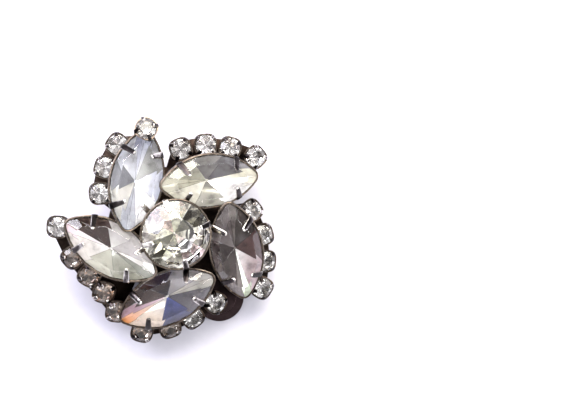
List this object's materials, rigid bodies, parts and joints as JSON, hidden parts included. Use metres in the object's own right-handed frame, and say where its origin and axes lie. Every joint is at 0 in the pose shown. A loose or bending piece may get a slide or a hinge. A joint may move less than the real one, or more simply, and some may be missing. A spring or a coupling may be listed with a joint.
{
  "type": "clip-on earring",
  "caption": "Clip-on earring with a round stone in a pinwheel of pointed-oval stones, edged with small round stones, and a hinged clip lever behind.",
  "frame": {"origin": "on the clip lever's flat outer face, nearly under the centre stone, so the part lies on z = 0", "axes": "+Z from the clip to the face of the earring; +Y toward the top of the picture, +X to its right"},
  "size_m": [0.0348, 0.034, 0.014],
  "materials": {
    "foiled_rhinestone": "clear faceted glass with aged silver foil behind",
    "setting_metal": "worn silver-tone plating, darkened between the stones",
    "clip_metal": "dark silver-tone plating"
  },
  "bodies": {
    "ornament": {"setting": "setting_metal", "centre_stone": "foiled_rhinestone", "navette_1": "foiled_rhinestone", "navette_2": "foiled_rhinestone", "navette_3": "foiled_rhinestone", "navette_4": "foiled_rhinestone", "navette_5": "foiled_rhinestone", "tip_stone_1": "foiled_rhinestone", "tip_stone_2": "foiled_rhinestone", "tip_stone_3": "foiled_rhinestone", "tip_stone_4": "foiled_rhinestone", "tip_stone_5": "foiled_rhinestone", "row_stone_1_1": "foiled_rhinestone", "row_stone_1_2": "foiled_rhinestone", "row_stone_1_3": "foiled_rhinestone", "row_stone_2_1": "foiled_rhinestone", "row_stone_2_2": "foiled_rhinestone", "row_stone_2_3": "foiled_rhinestone", "row_stone_3_1": "foiled_rhinestone", "row_stone_3_2": "foiled_rhinestone", "row_stone_3_3": "foiled_rhinestone", "row_stone_4_1": "foiled_rhinestone", "row_stone_4_2": "foiled_rhinestone", "row_stone_4_3": "foiled_rhinestone", "row_stone_5_1": "foiled_rhinestone", "row_stone_5_2": "foiled_rhinestone", "row_stone_5_3": "foiled_rhinestone", "row_stone_5_4": "foiled_rhinestone", "clip_bracket": "clip_metal", "hinge_pin": "clip_metal"},
    "clip_lever": {"clip_lever": "clip_metal"}
  },
  "joints": [
    {"name": "clip_hinge", "type": "hinge", "parent": "ornament", "child": "clip_lever", "pos_m": [-0.00326, 0.00432, 0.0021], "axis": [0.7986, 0.6018, 0], "range_deg": [0, 95]}
  ]
}
